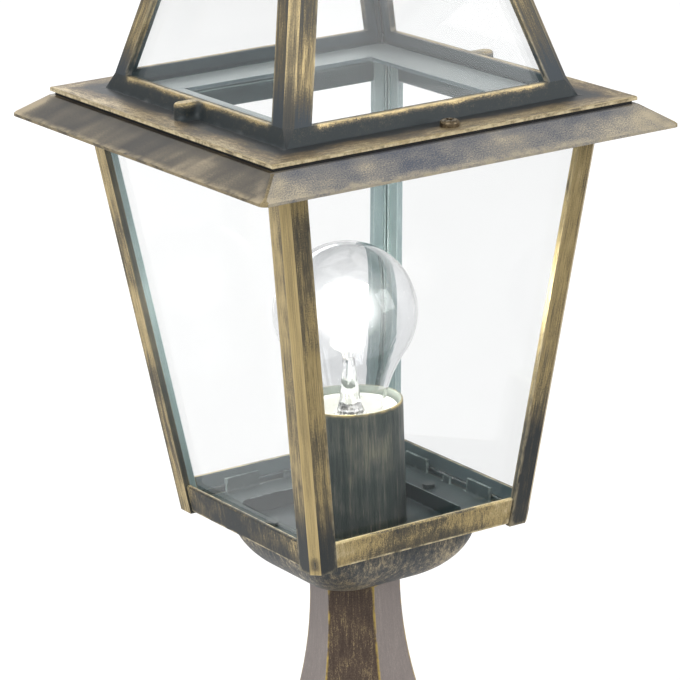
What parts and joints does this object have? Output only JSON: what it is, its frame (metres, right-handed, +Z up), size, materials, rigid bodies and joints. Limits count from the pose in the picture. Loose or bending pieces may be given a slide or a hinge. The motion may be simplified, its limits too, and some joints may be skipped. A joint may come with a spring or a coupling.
{
  "type": "pedestal light",
  "caption": "Garden pedestal light: glazed square lantern with leaning walls, overhanging rim, lift-off glazed roof and screw-in bulb, on a hollow flared hexagonal pedestal.",
  "frame": {"origin": "middle of the foot's underside, on the surface that the light stands on", "axes": "+Z up along the pedestal and lantern; -Y is the front, with one roof screw; +X is to the right"},
  "size_m": [0.2012, 0.2012, 0.5156],
  "materials": {
    "cast_lantern": "cast aluminium, dark slate lacquer rubbed back with antique gold",
    "cast_pedestal": "cast aluminium, brown lacquer rubbed with gold along the edges",
    "bronzed_sleeve": "aluminium tube, dark bronze with upright streaks",
    "bronzed_screw": "steel, bronzed",
    "grey_sheet": "steel sheet, grey lacquer",
    "zinc_steel": "zinc-plated steel",
    "brass_parts": "brass, bright",
    "nickel_cap": "bright metal",
    "cap_black": "black vitreous insulator",
    "seal_rubber": "black rubber",
    "holder_white": "white heat-resistant moulding",
    "block_plastic": "white polyamide",
    "lead_brown": "brown insulation",
    "lead_blue": "blue insulation",
    "lead_green": "green and yellow insulation",
    "pane_glass": "clear float glass",
    "bulb_clear": "clear blown glass",
    "filament_wire": "tungsten and support wire"
  },
  "bodies": {
    "base": {"bottom_frame": "cast_lantern", "cable_clamp": "block_plastic", "centre_contact": "brass_parts", "centre_tube": "zinc_steel", "dish": "cast_lantern", "dish_nut": "zinc_steel", "dish_washer": "zinc_steel", "earth_lead": "lead_green", "earth_screw": "brass_parts", "floor_tray": "grey_sheet", "frame_screws": "zinc_steel", "lamp_sleeve": "bronzed_sleeve", "lampholder_base": "holder_white", "lampholder_body": "holder_white", "lampholder_insert": "holder_white", "live_lead": "lead_brown", "lower_nut": "zinc_steel", "lower_pane_back": "pane_glass", "lower_pane_front": "pane_glass", "lower_pane_left": "pane_glass", "lower_pane_right": "pane_glass", "lower_post_screws": "zinc_steel", "lower_washer": "zinc_steel", "neck_seal": "seal_rubber", "neutral_lead": "lead_blue", "pedestal": "cast_pedestal", "post_back_left": "cast_lantern", "post_back_right": "cast_lantern", "post_front_left": "cast_lantern", "post_front_right": "cast_lantern", "rim": "cast_lantern", "roof_seal": "seal_rubber", "screw_shell": "brass_parts", "terminal_block": "block_plastic", "terminal_screws": "zinc_steel", "upper_post_screws": "zinc_steel", "wiring_bracket": "zinc_steel"},
    "roof": {"cap_nut": "zinc_steel", "cap_strap": "zinc_steel", "finial": "cast_lantern", "roof_cap": "cast_lantern", "roof_frame": "cast_lantern", "roof_pane_back": "pane_glass", "roof_pane_front": "pane_glass", "roof_pane_left": "pane_glass", "roof_pane_right": "pane_glass"},
    "front_screw": {"roof_screw_front": "bronzed_screw"},
    "back_screw": {"roof_screw_back": "bronzed_screw"},
    "bulb": {"bulb_cap": "nickel_cap", "bulb_contact": "nickel_cap", "bulb_filament": "filament_wire", "bulb_glass": "bulb_clear", "bulb_insulator": "cap_black", "bulb_stem": "bulb_clear", "bulb_supports": "filament_wire"}
  },
  "joints": [
    {"name": "roof_lift", "type": "slide", "parent": "base", "child": "roof", "axis": [0, 0, 1], "range_m": [0, 0.12]},
    {"name": "front_screw_turn", "type": "hinge", "parent": "roof", "child": "front_screw", "pos_m": [0, -0.0805, 0.364], "axis": [0, 0, 1], "continuous": true},
    {"name": "back_screw_turn", "type": "hinge", "parent": "roof", "child": "back_screw", "pos_m": [0, 0.0805, 0.364], "axis": [0, 0, 1], "continuous": true},
    {"name": "bulb_turn", "type": "hinge", "parent": "base", "child": "bulb", "pos_m": [0, 0, 0.268], "axis": [0, 0, 1], "continuous": true}
  ]
}
